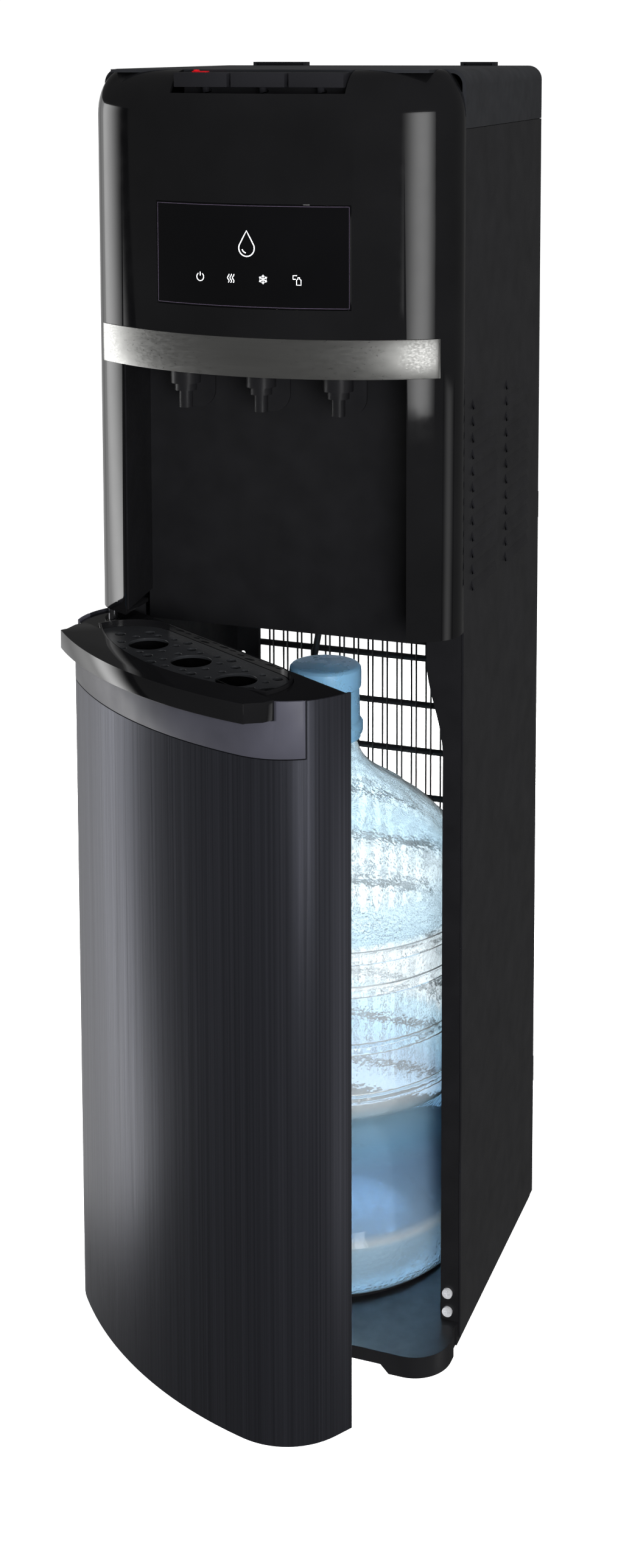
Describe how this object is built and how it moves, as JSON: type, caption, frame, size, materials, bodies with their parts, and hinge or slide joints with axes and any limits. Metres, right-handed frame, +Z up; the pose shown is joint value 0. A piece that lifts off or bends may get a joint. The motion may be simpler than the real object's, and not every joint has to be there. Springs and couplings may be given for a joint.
{
  "type": "bottom-loading water dispenser",
  "caption": "Floor-standing bottom-loading water dispenser: bowed fascia with three nozzles over an alcove, door ajar with a drip tray in its head, and a large bottle in the bay behind it.",
  "frame": {"origin": "on the floor, midway between the side panels and midway along their depth", "axes": "+X to the user's right, +Y to the rear, +Z up"},
  "size_m": [0.3166, 0.4918, 1.0532],
  "materials": {
    "base_black": "satin moulded plastic and painted sheet",
    "panel_black": "satin paint",
    "cover_grey": "satin moulded plastic",
    "screw_steel": "zinc plated",
    "sheet_steel": "galvanised sheet",
    "gloss_black": "high gloss",
    "display_glass": "high gloss",
    "board_green": "solder mask",
    "band_steel": "brushed",
    "alcove_black": "satin",
    "valve_white": "moulded",
    "button_black": "satin gloss",
    "lock_red": "gloss",
    "spring_steel": "bright",
    "compressor_black": "enamelled steel can",
    "mount_rubber": "rubber",
    "condenser_black": "black paint",
    "copper": "copper",
    "tank_steel": "stainless sheet",
    "foam": "expanded foam",
    "pump_black": "moulded",
    "rocker_red": "gloss",
    "rocker_blue": "gloss",
    "rocker_green": "gloss",
    "bush_white": "acetal",
    "door_brushed": "dark brushed",
    "insert_grey": "smooth satin gloss",
    "liner_black": "satin",
    "magnet_grey": "ferrite in a plastic holder",
    "grille_black": "fine texture",
    "bottle_blue": "clear tinted polycarbonate",
    "cap_blue": "translucent",
    "probe_black": "moulded",
    "hose_black": "smooth"
  },
  "bodies": {
    "cabinet": {"base_pan": "base_black", "side_panel_left": "panel_black", "side_panel_right": "panel_black", "top_cover": "cover_grey", "cover_clips": "cover_grey", "rear_panel": "base_black", "rear_frame": "base_black", "jamb_left": "base_black", "jamb_right": "base_black", "jamb_screws": "screw_steel", "bay_ceiling": "sheet_steel", "tank_shelf": "sheet_steel", "fascia": "gloss_black", "display_window": "display_glass", "front_boards": "board_green", "steel_band": "band_steel", "alcove_liner": "alcove_black", "nozzle_shields": "alcove_black", "nozzle_hot": "alcove_black", "nozzle_room": "alcove_black", "nozzle_cold": "alcove_black", "dispense_valves": "valve_white", "button_housing": "alcove_black", "button_springs": "spring_steel", "compressor": "compressor_black", "compressor_mounts": "mount_rubber", "condenser_tube": "condenser_black", "condenser_wires": "condenser_black", "condenser_brackets": "condenser_black", "filter_drier": "copper", "cold_tank": "tank_steel", "tank_foam": "foam", "hot_tank": "tank_steel", "water_pump": "pump_black", "control_board": "board_green", "switch_plate": "pump_black", "inlet_gland": "mount_rubber", "drain_plug": "valve_white", "hinge_bushes": "bush_white", "bottle": "bottle_blue", "bottle_cap": "cap_blue", "supply_probe": "probe_black", "supply_hose": "hose_black", "hose_gland": "mount_rubber", "probe_clip": "probe_black"},
    "door": {"door_skin": "door_brushed", "door_insert": "insert_grey", "door_liner": "liner_black", "tray_housing": "gloss_black", "door_magnets": "magnet_grey", "hinge_pins": "spring_steel"},
    "drip_tray": {"drip_tray": "gloss_black"},
    "grille": {"tray_grille": "grille_black"},
    "button_hot": {"button_hot": "button_black"},
    "button_room": {"button_room": "button_black"},
    "button_cold": {"button_cold": "button_black"},
    "child_lock": {"child_lock": "lock_red"},
    "rocker_heat": {"rocker_heat": "rocker_red"},
    "rocker_cool": {"rocker_cool": "rocker_blue"},
    "rocker_light": {"rocker_light": "rocker_green"}
  },
  "joints": [
    {"name": "door_hinge", "type": "hinge", "parent": "cabinet", "child": "door", "pos_m": [-0.143, -0.141, 0.3], "axis": [0, 0, -1], "range_deg": [-32, 75]},
    {"name": "tray_lift", "type": "slide", "parent": "door", "child": "drip_tray", "axis": [0, 0, 1], "range_m": [0, 0.04]},
    {"name": "grille_lift", "type": "slide", "parent": "drip_tray", "child": "grille", "axis": [0, 0, 1], "range_m": [0, 0.04]},
    {"name": "press_hot", "type": "slide", "parent": "cabinet", "child": "button_hot", "axis": [0, 0, -1], "range_m": [0, 0.0035], "stiffness_N_per_m": 600, "springref_m": -0.002, "deforming": ["button_springs"]},
    {"name": "press_room", "type": "slide", "parent": "cabinet", "child": "button_room", "axis": [0, 0, -1], "range_m": [0, 0.0035], "stiffness_N_per_m": 600, "springref_m": -0.002, "deforming": ["button_springs"]},
    {"name": "press_cold", "type": "slide", "parent": "cabinet", "child": "button_cold", "axis": [0, 0, -1], "range_m": [0, 0.0035], "stiffness_N_per_m": 600, "springref_m": -0.002, "deforming": ["button_springs"]},
    {"name": "child_lock_slide", "type": "slide", "parent": "button_hot", "child": "child_lock", "axis": [1, 0, 0], "range_m": [0, 0.004], "stiffness_N_per_m": 150, "springref_m": -0.001},
    {"name": "rock_heat", "type": "hinge", "parent": "cabinet", "child": "rocker_heat", "pos_m": [0.095, 0.118, 0.963], "axis": [1, 0, 0], "range_deg": [-16, 0]},
    {"name": "rock_cool", "type": "hinge", "parent": "cabinet", "child": "rocker_cool", "pos_m": [0.095, 0.118, 0.936], "axis": [1, 0, 0], "range_deg": [-16, 0]},
    {"name": "rock_light", "type": "hinge", "parent": "cabinet", "child": "rocker_light", "pos_m": [0.095, 0.118, 0.909], "axis": [1, 0, 0], "range_deg": [-16, 0]}
  ]
}
